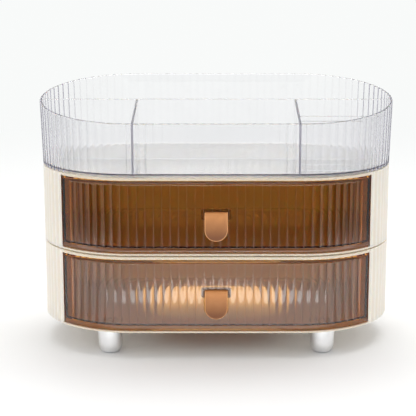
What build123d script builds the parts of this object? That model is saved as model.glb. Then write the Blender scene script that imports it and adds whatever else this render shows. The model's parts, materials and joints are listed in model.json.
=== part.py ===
from build123d import *
import os
from math import cos, pi, radians, sin, tan

# A two-drawer vanity organizer: two like cabinets stacked on four feet under a clear tray.
# Millimetres. The origin is on the table under the middle, +Z is up and the drawers open towards -Y.

# Cabinet plan: straight sides between two half-round ends, fluted all round
cabinet_width = 300.0
cabinet_depth = 160.0
flute_width = 6.85
flute_depth = 0.7

# Cabinet heights and walls
cabinet_height = 66.0
cabinet_lift = 22.0
tier_gap = 0.4
cabinet_wall = 2.4
top_thickness = 2.6
base_thickness = 1.8

# Stacking: a raised field on each cabinet's top enters a recess under the tier above
nest_depth = 1.5
nest_inset = 6.0
nest_clearance = 0.3

# Drawer opening, with its inner guide walls and the screw posts behind them
opening_end_margin = 20.5
guide_thickness = 1.8
post_diameter = 7.6
post_setback = 2.4
post_spacing = 48.0
post_hole_depth = 13.0

# Base plate: large hole, runners, countersunk screws
hole_front_margin = 30.0
hole_rear_margin = 22.0
hole_side_margin = 92.0
hole_corner = 30.0
runner_width = 3.0
runner_inset = 17.5
runner_end_margin = 20.0
runner_gap = 0.3
plate_screw_diameter = 2.6
plate_screw_length = 12.0
plate_screw_head_diameter = 5.6
thread_clearance = 0.1
shank_clearance = 0.6
head_clearance = 0.2

# Feet
foot_top_diameter = 21.5
foot_waist_diameter = 20.5
foot_flat_diameter = 9.0
foot_round_height = 9.5
foot_end_margin = 60.0
foot_side_margin = 22.0
spigot_diameter = 12.0
spigot_clearance = 0.2
foot_screw_diameter = 3.5
foot_screw_length = 15.0
foot_screw_head_diameter = 15.0
foot_screw_flange = 0.8
foot_screw_dome_diameter = 8.0
foot_screw_dome_height = 0.9
driver_width = 0.8
driver_depth = 0.5

# Drawers
drawer_recess = 0.8
drawer_front_thickness = 2.6
drawer_wall = 2.0
drawer_floor = 2.0
drawer_side_gap = 1.2
drawer_flange = 1.2
drawer_top_gap = 0.5
drawer_base_gap = 0.3
drawer_rear_gap = 0.8
drawer_skirt = 3.8
drawer_rim_drop = 3.0
drawer_corner = 10.0
frame_top = 2.8
frame_bottom = 4.4

# Leather pulls
pull_width = 19.0
pull_thickness = 2.0
pull_length = 23.0
pull_height = 36.0
pull_gap = 0.8
hinge_gap = 0.3
slot_side_clearance = 0.5
slot_clearance = 1.0
anchor_width = 24.2
anchor_height = 8.7
anchor_thickness = 2.2
anchor_drop = 1.4
slot_corner = 1.0

# Clear tray
tray_front_height = 44.0
tray_rear_height = 66.0
tray_draft = 1.9
tray_wall = 2.4
tray_floor = 2.0
divider_thickness = 2.0
divider_gap = 0.1
front_compartment = 74.0
end_compartment = 82.0
front_slot = 18.4
short_divider_drop = 0.5

# Worked-out plan values
half_width = cabinet_width / 2
half_depth = cabinet_depth / 2
end_offset = half_width - half_depth
half_turn = pi * half_depth
outline_length = 4 * end_offset + 2 * half_turn
flute_count = 2 * round(outline_length / flute_width / 2)
flute_pitch = outline_length / flute_count
opening_half = half_width - opening_end_margin
guide_outer = opening_half + guide_thickness

# Worked-out levels, from a cabinet's own underside
nest_height = nest_depth - nest_clearance
pan_top = nest_depth + base_thickness
ceiling = cabinet_height - top_thickness
front_bottom = base_thickness + drawer_base_gap
front_top = ceiling - drawer_top_gap
floor_bottom = front_bottom + drawer_skirt
floor_top = floor_bottom + drawer_floor
runner_top = floor_bottom - runner_gap

# Worked-out levels above the table
lower_base = cabinet_lift
upper_base = lower_base + cabinet_height + tier_gap
tray_base = upper_base + cabinet_height + tier_gap

os.makedirs("parts", exist_ok=True)


def keep(piece, name):
    """Label a finished piece and write its STEP file."""
    piece.part.label = name
    export_step(piece.part, f"parts/{name}.step")


def outline_point(travel, inset=0.0):
    """Point of the plan outline at a distance along it from the front centre, moved inwards by inset."""
    travel = travel % outline_length
    reach = half_depth - inset
    if travel < end_offset:
        return (travel, -reach)
    if travel < end_offset + half_turn:
        turn = (travel - end_offset) / half_depth - pi / 2
        return (end_offset + reach * cos(turn), reach * sin(turn))
    if travel < 3 * end_offset + half_turn:
        return (2 * end_offset + half_turn - travel, reach)
    if travel < 3 * end_offset + 2 * half_turn:
        turn = (travel - 3 * end_offset - half_turn) / half_depth + pi / 2
        return (-end_offset + reach * cos(turn), reach * sin(turn))
    return (travel - outline_length, -reach)


def flute_arcs(inset=0.0):
    """One hollow arc per flute from ridge to ridge, the first at the front centre, moved inwards by inset."""
    arcs = []
    for index in range(flute_count):
        ridge = outline_point((index - 0.5) * flute_pitch, inset)
        hollow = outline_point(index * flute_pitch, inset + flute_depth)
        next_ridge = outline_point((index + 0.5) * flute_pitch, inset)
        arcs.append(ThreePointArc(ridge, hollow, next_ridge))
    return arcs


def plain_face(inset=0.0, mode=Mode.ADD):
    """Face of the smooth outline moved inwards by inset."""
    SlotOverall(cabinet_width - 2 * inset, cabinet_depth - 2 * inset, mode=mode)


def front_half(half_span, mode=Mode.INTERSECT):
    """Rectangle over the front half of the plan, half_span to each side."""
    with Locations((0, -cabinet_depth / 2)):
        Rectangle(2 * half_span, cabinet_depth, mode=mode)


# Places shared by several pieces
post_x = guide_outer + post_setback + post_diameter / 2
post_places = [(side * post_x, end * post_spacing / 2) for side in (-1, 1) for end in (-1, 1)]
foot_x = half_width - foot_end_margin
foot_y = half_depth - foot_side_margin
foot_places = {
    "front_left": (-foot_x, -foot_y),
    "front_right": (foot_x, -foot_y),
    "rear_left": (-foot_x, foot_y),
    "rear_right": (foot_x, foot_y),
}
hole_length = cabinet_width - 2 * hole_side_margin
hole_width = cabinet_depth - hole_front_margin - hole_rear_margin
hole_y = (hole_front_margin - hole_rear_margin) / 2
runner_x = opening_half - runner_inset

tiers = {"lower": lower_base, "upper": upper_base}

# Fluted plan shared by the shells, the base plates and the foot of the tray's wall
cabinet_flutes = flute_arcs()
with BuildSketch() as cabinet_plan:
    with BuildLine():
        add(cabinet_flutes)
    make_face()

# Cabinet shells: fluted wall with a front opening, closed top, guide walls and screw posts
for tier, level in tiers.items():
    with BuildPart() as shell:
        with BuildSketch(Plane.XY.offset(level + base_thickness)):
            add(cabinet_plan.sketch)
            plain_face(cabinet_wall, Mode.SUBTRACT)
            front_half(opening_half, Mode.SUBTRACT)
        extrude(amount=ceiling - base_thickness)
        with BuildSketch(Plane.XY.offset(level + ceiling)):
            add(cabinet_plan.sketch)
        extrude(amount=top_thickness)
        with BuildSketch(Plane.XY.offset(level + cabinet_height)):
            plain_face(nest_inset + nest_clearance)
        extrude(amount=nest_height)
        with BuildSketch(Plane.XY.offset(level + pan_top)):
            with Locations((-guide_outer + guide_thickness / 2, 0), (guide_outer - guide_thickness / 2, 0)):
                Rectangle(guide_thickness, cabinet_depth)
            plain_face(cabinet_wall / 2, Mode.INTERSECT)
            with Locations(*post_places):
                Circle(post_diameter / 2)
        extrude(amount=ceiling - pan_top)
        with BuildSketch(Plane.XY.offset(level + pan_top)):
            with Locations(*post_places):
                Circle((plate_screw_diameter + thread_clearance) / 2)
        extrude(amount=post_hole_depth, mode=Mode.SUBTRACT)
    keep(shell, f"{tier}_shell")

# Base plates: fluted rim, raised pan with the large hole, foot sockets, drawer runners
for tier, level in tiers.items():
    with BuildPart() as base_plate:
        with BuildSketch(Plane.XY.offset(level)):
            add(cabinet_plan.sketch)
            plain_face(nest_inset, Mode.SUBTRACT)
        extrude(amount=base_thickness)
        with BuildSketch(Plane.XY.offset(level + nest_depth)):
            plain_face(nest_inset - base_thickness)
        extrude(amount=base_thickness)
        with BuildSketch(Plane.XY.offset(level + pan_top)):
            with Locations((-runner_x, 0), (runner_x, 0)):
                Rectangle(runner_width, cabinet_depth)
            plain_face(runner_end_margin, Mode.INTERSECT)
        extrude(amount=runner_top - pan_top)
        with BuildSketch(Plane.XY.offset(level + nest_depth)):
            with Locations((0, hole_y)):
                RectangleRounded(hole_length, hole_width, hole_corner)
            with Locations(*foot_places.values()):
                Circle((spigot_diameter + spigot_clearance) / 2)
        extrude(amount=base_thickness, mode=Mode.SUBTRACT)
        with Locations(Plane.XY.offset(level + nest_depth).rotated((180, 0, 0))):
            with Locations(*post_places):
                CounterSinkHole(
                    (plate_screw_diameter + shank_clearance) / 2,
                    (plate_screw_head_diameter + head_clearance) / 2,
                    depth=base_thickness,
                    counter_sink_angle=90,
                )
    keep(base_plate, f"{tier}_base_plate")

# Flat-headed screws that hold each base plate to the posts
with BuildPart() as plate_screw:
    with BuildSketch(Plane.XZ):
        with BuildLine():
            Polyline(
                (0, 0),
                (plate_screw_head_diameter / 2, 0),
                (plate_screw_diameter / 2, (plate_screw_head_diameter - plate_screw_diameter) / 2),
                (plate_screw_diameter / 2, plate_screw_length - plate_screw_diameter / 2),
                (0, plate_screw_length),
                close=True,
            )
        make_face()
    revolve(axis=Axis.Z)
    with BuildSketch(Plane.XY):
        Rectangle(plate_screw_diameter, driver_width)
        Rectangle(driver_width, plate_screw_diameter)
    extrude(amount=driver_depth, mode=Mode.SUBTRACT)

for tier, level in tiers.items():
    with BuildPart() as plate_screws:
        with Locations(*[(x, y, level + nest_depth) for x, y in post_places]):
            add(plate_screw.part)
    keep(plate_screws, f"{tier}_base_screws")

# Feet: bullet-shaped, with a spigot in the base plate's socket and a screw from above
foot_top = lower_base + nest_depth
socket_top = lower_base + pan_top
with BuildPart() as foot:
    with BuildSketch(Plane.XZ):
        with BuildLine():
            flat_end = (foot_flat_diameter / 2, 0)
            waist = (foot_waist_diameter / 2, foot_round_height)
            shoulder = (foot_top_diameter / 2, foot_top)
            Line((0, 0), flat_end)
            Bezier(flat_end, (foot_waist_diameter / 2 * 0.85, 0), (waist[0], waist[1] / 2), waist)
            Line(waist, shoulder)
            Polyline(
                shoulder,
                (spigot_diameter / 2, foot_top),
                (spigot_diameter / 2, socket_top),
                (0, socket_top),
                (0, 0),
            )
        make_face()
    revolve(axis=Axis.Z)
    with BuildSketch(Plane.XY.offset(socket_top)):
        Circle((foot_screw_diameter + thread_clearance) / 2)
    extrude(amount=-foot_screw_length - foot_screw_diameter, mode=Mode.SUBTRACT)

for name, (x, y) in foot_places.items():
    with BuildPart() as placed_foot:
        with Locations((x, y, 0)):
            add(foot.part)
    keep(placed_foot, f"{name}_foot")

with BuildPart() as foot_screw:
    with BuildSketch(Plane.XY.offset(socket_top)):
        Circle(foot_screw_head_diameter / 2)
    extrude(amount=foot_screw_flange)
    with BuildSketch(Plane.XY.offset(socket_top + foot_screw_flange)):
        Circle(foot_screw_dome_diameter / 2)
    extrude(amount=foot_screw_dome_height)
    with BuildSketch(Plane.XY.offset(socket_top + foot_screw_flange + foot_screw_dome_height)):
        Rectangle(foot_screw_dome_diameter / 2, driver_width)
        Rectangle(driver_width, foot_screw_dome_diameter / 2)
    extrude(amount=-driver_depth, mode=Mode.SUBTRACT)
    with BuildSketch(Plane.XY.offset(socket_top)):
        Circle(foot_screw_diameter / 2)
    extrude(amount=-foot_screw_length)

with BuildPart() as foot_screws:
    with Locations(*[(x, y, 0) for x, y in foot_places.values()]):
        add(foot_screw.part)
keep(foot_screws, "foot_screws")

# Drawer plan: the room inside, the tub round it and the front that covers the opening
flange_half = opening_half - drawer_side_gap
tub_half = flange_half - drawer_flange
front_inner = drawer_recess + drawer_front_thickness
tub_rear = cabinet_wall + drawer_rear_gap
room_rear = tub_rear + drawer_wall
field_ridges = [outline_point((index + 0.5) * flute_pitch)[0] for index in range(flute_count // 4)]
field_half = max(reach for reach in field_ridges if reach <= tub_half)


def drawer_slot(front_inset, rear_inset, mode=Mode.ADD):
    """Half-round-ended face, front_inset behind the outline's front and rear_inset before its rear."""
    span = cabinet_depth - front_inset - rear_inset
    with Locations((0, (front_inset - rear_inset) / 2)):
        SlotOverall(2 * end_offset + span, span, mode=mode)


def drawer_tub(front_inset, rear_inset, half_span, corner):
    """Plan of the tub: cut straight at both sides, with rounded rear corners."""
    drawer_slot(front_inset, rear_inset)
    outline = Rectangle(2 * half_span, 2 * cabinet_depth, mode=Mode.INTERSECT)
    corners = outline.vertices().filter_by(lambda point: point.Y > 0 and abs(point.X) > end_offset)
    fillet(corners, corner)


def drawer_front():
    """Trim the sketch to the front plate: in front of the room and as wide as the flange."""
    drawer_slot(front_inner, room_rear, Mode.SUBTRACT)
    front_half(flange_half)


# Drawers: tub, and a front with a fluted field inside a smooth frame and a slot for the pull
drawer_flutes = flute_arcs(drawer_recess)
with BuildSketch() as fluted_field:
    with BuildLine():
        add(drawer_flutes)
    make_face()
    front_half(field_half)

for tier, level in tiers.items():
    with BuildPart() as drawer:
        with BuildSketch(Plane.XY.offset(level + floor_bottom)):
            drawer_tub(front_inner - drawer_front_thickness / 2, tub_rear, tub_half, drawer_corner)
        extrude(amount=front_top - drawer_rim_drop - floor_bottom)
        with BuildSketch(Plane.XY.offset(level + front_bottom)):
            plain_face(drawer_recess)
            drawer_front()
        extrude(amount=frame_bottom)
        with BuildSketch(Plane.XY.offset(level + front_bottom + frame_bottom)):
            plain_face(drawer_recess)
            front_half(field_half, Mode.SUBTRACT)
            add(fluted_field.sketch)
            drawer_front()
        extrude(amount=front_top - frame_top - front_bottom - frame_bottom)
        with BuildSketch(Plane.XY.offset(level + front_top - frame_top)):
            plain_face(drawer_recess)
            drawer_front()
        extrude(amount=frame_top)
        with BuildSketch(Plane.XY.offset(level + floor_top)):
            drawer_tub(front_inner, room_rear, tub_half - drawer_wall, drawer_corner - drawer_wall)
        extrude(amount=cabinet_height, mode=Mode.SUBTRACT)
        with BuildSketch(Plane.XZ.offset(half_depth)):
            with Locations((0, level + pull_height)):
                RectangleRounded(
                    pull_width + 2 * slot_side_clearance,
                    pull_thickness + 2 * slot_clearance,
                    slot_corner,
                )
        extrude(amount=-2 * front_inner, mode=Mode.SUBTRACT)
    keep(drawer, f"{tier}_drawer_tub")

# Leather pulls: an anchor head and neck through the slot, and the tongue that hangs from the neck's fold
pull_y = -(half_depth - drawer_recess + pull_gap + pull_thickness / 2)
seat_y = -(half_depth - front_inner)

for tier, level in tiers.items():
    fold_z = level + pull_height
    with BuildPart() as anchor:
        with BuildSketch(Plane.YZ):
            with Locations(((pull_y + seat_y) / 2, fold_z)):
                Rectangle(seat_y - pull_y, pull_thickness)
            with Locations((pull_y, fold_z)):
                Circle(pull_thickness / 2)
        extrude(amount=pull_width / 2, both=True)
        with Locations((0, seat_y + anchor_thickness / 2, fold_z - anchor_drop)):
            Box(anchor_width, anchor_thickness, anchor_height)
    keep(anchor, f"{tier}_pull_anchor")

    tongue_top = fold_z - pull_thickness / 2 - hinge_gap
    tongue_end = fold_z - pull_length + pull_width / 2
    with BuildPart() as tongue:
        with BuildSketch(Plane.XZ.offset(-pull_y)):
            with Locations((0, (tongue_top + tongue_end) / 2)):
                Rectangle(pull_width, tongue_top - tongue_end)
            with Locations((0, tongue_end)):
                Circle(pull_width / 2)
        extrude(amount=pull_thickness / 2, both=True)
    keep(tongue, f"{tier}_pull_tongue")

# Clear tray: fluted wall that flares outwards, with a rim that rises from front to rear
tray_slope = (tray_rear_height - tray_front_height) / cabinet_depth
tray_stock = tray_rear_height + tray_wall
tray_inside = nest_depth + tray_floor
rim_plane = Plane(
    origin=(0, -half_depth, tray_base + tray_front_height),
    x_dir=(1, 0, 0),
    z_dir=(0, -tray_slope, 1),
)


def flare(height):
    """How far the tray's wall has moved outwards at a height above its base."""
    return height * tan(radians(tray_draft))


tray_top_flutes = flute_arcs(-flare(tray_stock))
with BuildPart() as tray:
    with BuildSketch(Plane.XY.offset(tray_base)):
        add(cabinet_plan.sketch)
    with BuildSketch(Plane.XY.offset(tray_base + tray_stock)):
        with BuildLine():
            add(tray_top_flutes)
        make_face()
    loft(ruled=True)
    with BuildSketch(Plane.XY.offset(tray_base + tray_inside)):
        plain_face(tray_wall - flare(tray_inside))
    with BuildSketch(Plane.XY.offset(tray_base + tray_stock)):
        plain_face(tray_wall - flare(tray_stock))
    loft(ruled=True, mode=Mode.SUBTRACT)
    with BuildSketch(Plane.XY.offset(tray_base)):
        plain_face(nest_inset)
    extrude(amount=nest_depth, mode=Mode.SUBTRACT)
    split(bisect_by=rim_plane, keep=Keep.BOTTOM)
keep(tray, "tray_tub")

# Room inside the tray, which the dividers are trimmed to
with BuildPart() as tray_room:
    with BuildSketch(Plane.XY.offset(tray_base + tray_inside)):
        plain_face(tray_wall + divider_gap - flare(tray_inside))
    with BuildSketch(Plane.XY.offset(tray_base + tray_stock)):
        plain_face(tray_wall + divider_gap - flare(tray_stock))
    loft(ruled=True)
    split(bisect_by=rim_plane, keep=Keep.BOTTOM)

# Dividers: one along the tray, two across its front, two short ones in the right end
long_y = front_compartment - half_depth
front_short_y = front_slot - half_depth
cross_x = half_width - end_compartment
cross_rear = long_y - divider_thickness / 2
short_left = cross_x + divider_thickness / 2
short_places = {"rear": (long_y + front_short_y) / 2, "front": front_short_y}
short_top = tray_base + tray_front_height - short_divider_drop

with BuildPart() as long_divider:
    with Locations((0, long_y, tray_base)):
        Box(2 * cabinet_width, divider_thickness, 4 * tray_rear_height)
    add(tray_room.part, mode=Mode.INTERSECT)
keep(long_divider, "tray_long_divider")

for side, name in ((-1, "left"), (1, "right")):
    with BuildPart() as cross_divider:
        with Locations((side * cross_x, cross_rear - cabinet_depth / 2, tray_base)):
            Box(divider_thickness, cabinet_depth, 4 * tray_rear_height)
        add(tray_room.part, mode=Mode.INTERSECT)
    keep(cross_divider, f"tray_{name}_divider")

for name, short_y in short_places.items():
    with BuildPart() as short_divider:
        with Locations((short_left + cabinet_width / 2, short_y, short_top)):
            Box(
                cabinet_width,
                divider_thickness,
                2 * tray_rear_height,
                align=(Align.CENTER, Align.CENTER, Align.MAX),
            )
        add(tray_room.part, mode=Mode.INTERSECT)
    keep(short_divider, f"tray_short_divider_{name}")
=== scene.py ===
import json
import math

import bmesh
import bpy
import numpy as np
from bpy.props import FloatProperty, FloatVectorProperty, IntProperty, PointerProperty
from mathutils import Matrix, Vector


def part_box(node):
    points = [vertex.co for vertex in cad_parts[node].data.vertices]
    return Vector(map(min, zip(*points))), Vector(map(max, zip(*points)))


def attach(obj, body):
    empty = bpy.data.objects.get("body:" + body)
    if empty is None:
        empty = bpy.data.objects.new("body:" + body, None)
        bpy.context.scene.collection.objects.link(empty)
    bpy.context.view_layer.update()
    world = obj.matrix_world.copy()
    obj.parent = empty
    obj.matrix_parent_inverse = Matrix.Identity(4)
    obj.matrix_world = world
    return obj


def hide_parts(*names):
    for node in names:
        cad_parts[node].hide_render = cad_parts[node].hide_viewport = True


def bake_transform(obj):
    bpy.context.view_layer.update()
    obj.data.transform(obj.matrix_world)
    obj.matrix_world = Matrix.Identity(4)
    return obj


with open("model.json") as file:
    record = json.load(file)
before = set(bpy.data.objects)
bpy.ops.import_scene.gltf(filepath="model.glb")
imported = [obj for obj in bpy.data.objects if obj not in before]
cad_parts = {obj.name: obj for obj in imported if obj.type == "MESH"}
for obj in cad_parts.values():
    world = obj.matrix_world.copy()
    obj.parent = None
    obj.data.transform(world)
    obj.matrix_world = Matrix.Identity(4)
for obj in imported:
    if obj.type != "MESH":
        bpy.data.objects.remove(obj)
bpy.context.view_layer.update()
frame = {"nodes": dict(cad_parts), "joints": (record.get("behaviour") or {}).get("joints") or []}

bl_info = {
    "name": "Fluted Vanity Organizer",
    "version": (1, 0, 0),
    "blender": (4, 5, 0),
    "location": "3D View > Sidebar > Organizer",
    "description": "Dresses the packed organizer: cabinets, amber drawers, clear tray, leather pulls, feet",
    "category": "Object",
}

MM = 0.001
SAME = 1e-9  # travels and levels closer than this are one
HAIR = 0.05 * MM  # how near to an edge or a face a point counts as lying on it
TIERS = ("lower", "upper")
FEET = ("front_left", "front_right", "rear_left", "rear_right")
SCREWS = ("foot_screws", "lower_base_screws", "upper_base_screws")
# Axis and side of the end with which a divider butts on another one
DIVIDER_ENDS = {"tray_long_divider": None, "tray_left_divider": (1, 1), "tray_right_divider": (1, 1),
                "tray_short_divider_rear": (0, -1), "tray_short_divider_front": (0, -1)}
SHELL_LOW, SHELL_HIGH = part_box("lower_shell")
DRAWER_LOW, DRAWER_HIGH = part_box("lower_drawer_tub")
TRAY_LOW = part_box("tray_tub")[0]
# Where a flute is sampled, in shares of its width from its deepest line; closer together near the ridges
HALF_STEPS = np.array([0.1, 0.2, 0.3, 0.4, 0.455, 0.47, 0.485])
FLUTE_STEPS = np.concatenate(([-0.5], -HALF_STEPS[::-1], [0.0], HALF_STEPS))
# Share of the painted shade, a darker warm cream, at the bottom of a flute and on the lips that frame the
# drawers
FLUTE_PAINTED_SHADE = 0.65
LIP_PAINTED_SHADE = 1.0


def length(name, description, metres):
    """A length property in metres."""
    return FloatProperty(name=name, description=description, default=metres, unit="LENGTH", precision=5)


def colour(name, description, value):
    """A linear colour property."""
    return FloatVectorProperty(name=name, description=description, default=value, size=3, min=0, max=1,
                               subtype="COLOR")


class OrganizerSizes(bpy.types.PropertyGroup):
    """Sizes of the dressed pieces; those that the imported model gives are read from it."""

    width: length("Width", "Cabinet width over the flute ridges", SHELL_HIGH.x - SHELL_LOW.x)
    depth: length("Depth", "Cabinet depth over the flute ridges", SHELL_HIGH.y - SHELL_LOW.y)
    flutes: IntProperty(name="Flutes", description="Number of flutes round the outline", default=114, min=8)
    flute_depth: length("Flute depth", "Depth of a flute below its ridges", 0.7 * MM)
    ridge_half: length("Ridge rounding", "Half the width of the rounding along a ridge", 0.3 * MM)
    # Width of the ridges' scuffing, which on the tray also carries a painted dark line
    ridge_wear_and_shade: length("Ridge wear", "How far the scuffing of a ridge reaches to each side", 1.0 * MM)
    nest_ring: length("Nest ring", "Height of the centring ring on a cabinet's top", 1.2 * MM)
    seam_relief: length("Seam relief", "How far the cabinets' outer edges draw back from a seam", 0.5 * MM)
    tray_base: length("Tray base", "Height of the tray's underside", TRAY_LOW.z)
    tray_front: length("Tray front", "Height of the tray's wall at the front", 44 * MM)
    tray_rear: length("Tray rear", "Height of the tray's wall at the rear", 66 * MM)
    tray_draft: FloatProperty(name="Tray draft", description="Outward lean of the tray's wall",
                              default=math.radians(1.9), unit="ROTATION")
    tray_wall: length("Tray wall", "Thickness of the tray's wall at a ridge", 2.4 * MM)
    tray_floor: length("Tray floor", "Thickness of the tray's floor", 1.25 * MM)
    tray_round: length("Rim radius", "Rounding of the tray's rim", 0.6 * MM)
    divider_gap: length("Divider gap", "Air left where a divider butts on another one", 0.08 * MM)
    divider_round: length("Divider edge", "Softening of a divider's edges", 0.35 * MM)
    nest_depth: length("Nest depth", "Depth of the recess under the tray", 0.85 * MM)
    nest_inset: length("Nest inset", "Width of the foot ring round that recess", 6 * MM)
    drawer_recess: length("Drawer recess", "How far a drawer's front lies behind the ridges", 0.8 * MM)
    drawer_front: length("Drawer front", "Thickness of a drawer's front at a ridge", 2.6 * MM)
    drawer_wall: length("Drawer wall", "Thickness of a drawer's other walls and floor", 2 * MM)
    drawer_flange: length("Drawer flange", "How far the front stands out beside the side walls", 1.2 * MM)
    drawer_skirt: length("Drawer skirt", "How far the front hangs below the drawer's floor", 3.8 * MM)
    drawer_rim_drop: length("Rim drop", "How far the other rims lie below the front's", 3 * MM)
    drawer_corner: length("Drawer corner", "Radius of a drawer's rear corners", 10 * MM)
    frame_top: length("Frame top", "Height of the plain band above the flutes", 2.8 * MM)
    frame_bottom: length("Frame bottom", "Height of the plain band below the flutes", 4.4 * MM)
    edge_round: length("Front edge", "Rounding of the front's upper and lower edges", 2.3 * MM)
    flute_end: length("Flute ends", "Length over which a drawer's flutes run out at their ends", 1.0 * MM)
    slot_width: length("Slot width", "Width of the slot for the pull", 20 * MM)
    slot_height: length("Slot height", "Height of the slot for the pull", 4 * MM)
    slot_level: length("Slot level", "Height of the slot above the front's lower edge", 33.9 * MM)
    pull_round: length("Pull edge", "Rounding of the leather's edges", 0.45 * MM)
    pull_crown: length("Pull crown", "How far the middle of the leather is fuller than its edges", 0.12 * MM)
    foot_waist: length("Foot waist", "Foot diameter where its rounding starts", 20.5 * MM)
    foot_flat: length("Foot flat", "Diameter of the flat under a foot", 9 * MM)
    foot_round: length("Foot rounding", "Height of a foot's rounded end", 9.5 * MM)


class OrganizerColours(bpy.types.PropertyGroup):
    """Colours of the finishes."""

    cream: colour("Cream", "Moulded cream plastic", (0.965, 0.915, 0.85))
    cream_shade: colour("Cream shade", "Darker tone in the cream plastic", (0.955, 0.90, 0.825))
    # Painted shade: darker warm cream for the flutes' hollows and for the lips beside the drawers
    cream_painted_shade: colour("Cream hollows", "Cream plastic in the hollows of the flutes", (0.83, 0.73, 0.59))
    amber: colour("Amber", "Tint of the drawers' plastic in depth", (0.975, 0.675, 0.02))
    clear: colour("Clear", "Tint of the tray's plastic in depth", (0.80, 0.79, 0.835))
    # Painted shade: dark line on the tray's ridges where they are seen edge-on, standing in for the
    # refraction there
    painted_ridge_shade: colour("Ridge line", "Tray ridges where they are seen edge-on", (0.06, 0.055, 0.08))
    tan: colour("Tan", "Tan leather near the fold", (0.71, 0.305, 0.105))
    tan_dark: colour("Tan grain", "Tan leather in the hollows of its grain", (0.65, 0.27, 0.092))
    # Painted shade: the lower part of a pull, darker because it hangs upright and gets less light
    tan_painted_shade: colour("Worn tan", "Tan leather at its tip, darkened by handling", (0.24, 0.085, 0.028))
    edge_paint: colour("Edge paint", "Painted edge of the tan leather", (0.95, 0.50, 0.22))
    brown: colour("Brown", "Brown leather of the anchor", (0.16, 0.07, 0.03))
    brown_dark: colour("Brown grain", "Brown leather in the hollows of its grain", (0.10, 0.04, 0.018))
    silver: colour("Silver", "Plated feet", (0.92, 0.925, 0.93))
    silver_dull: colour("Dull silver", "Duller patches of the plating", (0.85, 0.855, 0.86))
    steel: colour("Steel", "Zinc-plated screws", (0.55, 0.55, 0.56))
    steel_dull: colour("Dull steel", "Duller patches of the screws", (0.42, 0.41, 0.40))
    floor: colour("Floor", "Pale floor", (0.87, 0.87, 0.865))
    backdrop: colour("Backdrop", "White behind and around the object", (0.943, 0.957, 0.95))


def sizes():
    """Sizes that the scene holds."""
    return bpy.context.scene.organizer_sizes


def colours():
    """Colours that the scene holds."""
    return bpy.context.scene.organizer_colours


# Shapes


def half_straight():
    """Half the length of the outline's straight sides."""
    return (sizes().width - sizes().depth) / 2


def outline_length():
    """Length of the plan outline: its two straight sides and the circle that its ends make."""
    return 2 * (sizes().width - sizes().depth) + math.pi * sizes().depth


def outline(travel, inset):
    """Points of the round-ended plan outline. The spine point runs along the middle line and the direction
    turns half a circle at each end; a point is the spine point plus the direction times half the depth less
    inset. Travel is measured along the outline from the front centre towards +X."""
    straight = half_straight()
    turn = math.pi * sizes().depth / 2
    stops = np.cumsum([0, straight, turn, 2 * straight, turn, straight])
    lap = np.mod(travel, stops[-1])
    angle = np.interp(lap, stops, np.radians([-90, -90, 90, 90, 270, 270]))
    spine = np.interp(lap, stops, [0, straight, straight, -straight, -straight, 0])
    reach = sizes().depth / 2 - inset
    return spine + reach * np.cos(angle), reach * np.sin(angle)


def outline_gap(points):
    """How far points lie inside the plan outline: half the depth less the distance from the middle line."""
    spine = np.clip(points[:, 0], -half_straight(), half_straight())
    return sizes().depth / 2 - np.hypot(points[:, 0] - spine, points[:, 1])


def flute_pitch():
    """Width of a flute along the outline."""
    return outline_length() / sizes().flutes


def flute_radius():
    """Radius of the arc through both ridges and the deepest line of a flute."""
    pitch, deep = flute_pitch(), sizes().flute_depth
    return (pitch * pitch / 4 + deep ** 2) / (2 * deep)


def across_flute(travel):
    """Distance along the outline from the deepest line of the flute that a travel lies in."""
    pitch = flute_pitch()
    return np.abs(travel - np.round(travel / pitch) * pitch)


def flute_inset(travel):
    """Depth of the flutes at a travel: a circular arc through both ridges and the deepest line of each flute,
    with a parabola over each ridge that meets the arc at the same slope."""
    s = sizes()
    half, radius, across = flute_pitch() / 2, flute_radius(), across_flute(travel)
    edge = half - s.ridge_half
    arc = s.flute_depth - radius + np.sqrt(radius ** 2 - np.minimum(across, edge) ** 2)
    slope = edge / math.sqrt(radius ** 2 - edge ** 2)
    near = np.minimum(half - across, s.ridge_half)
    return arc - slope * (s.ridge_half ** 2 - near ** 2) / (2 * s.ridge_half)


def ridge_wear_and_shade(travel):
    """Scuffing of the ridges at a travel, which on the tray also masks a painted dark line: full on a ridge,
    none beyond the width of the wear.
    """
    near = flute_pitch() / 2 - across_flute(travel)
    return np.clip(1 - near / sizes().ridge_wear_and_shade, 0, 1)


def flute_travels():
    """Travels of all samples round the outline, a fixed set for each flute."""
    return ((np.arange(sizes().flutes)[:, None] + FLUTE_STEPS) * flute_pitch()).ravel()


def grid_faces(rows, columns, wrap=False):
    """Quads between neighbouring rows and columns of a grid; wrap joins the last column to the first."""
    index = np.arange(rows * columns).reshape(rows, columns)
    left = index if wrap else index[:, :-1]
    right = np.roll(index, -1, axis=1) if wrap else index[:, 1:]
    return np.stack((left[:-1], right[:-1], right[1:], left[1:]), axis=-1).reshape(-1, 4)


def threes(items, key, kind=np.float32, each=3):
    """One property of all items of a mesh, each with so many numbers, as rows of three numbers."""
    values = np.empty(len(items) * each, kind)
    items.foreach_get(key, values)
    return values.reshape(-1, 3)


def mesh_arrays(mesh):
    """Points and triangles of a mesh."""
    return threes(mesh.vertices, "co"), threes(mesh.loops, "vertex_index", np.int32, each=1)


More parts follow.
